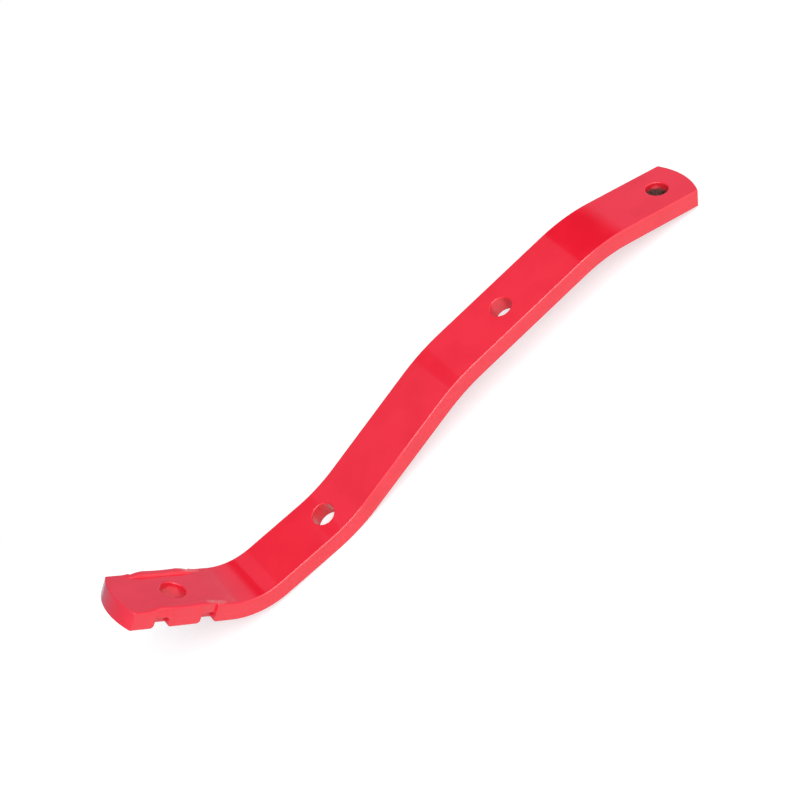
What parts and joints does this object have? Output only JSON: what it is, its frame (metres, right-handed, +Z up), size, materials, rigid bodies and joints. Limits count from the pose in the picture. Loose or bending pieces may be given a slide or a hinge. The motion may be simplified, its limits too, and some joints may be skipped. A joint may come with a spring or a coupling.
{
  "type": "tine arm",
  "caption": "Bent flat steel bar with rounded ends and bolt holes along it, and a seat with raised lips and notched edges for a spring tine at one end.",
  "frame": {"origin": "centre of the arm's outline as it lies, on the surface that it lies on", "axes": "+X along the arm from the tine end towards the hub end, +Y across the bar, +Z up as it lies"},
  "size_m": [0.453, 0.04, 0.0875],
  "materials": {
    "red_paint": "gloss"
  },
  "bodies": {
    "root": {"tine_arm": "red_paint"}
  },
  "joints": []
}
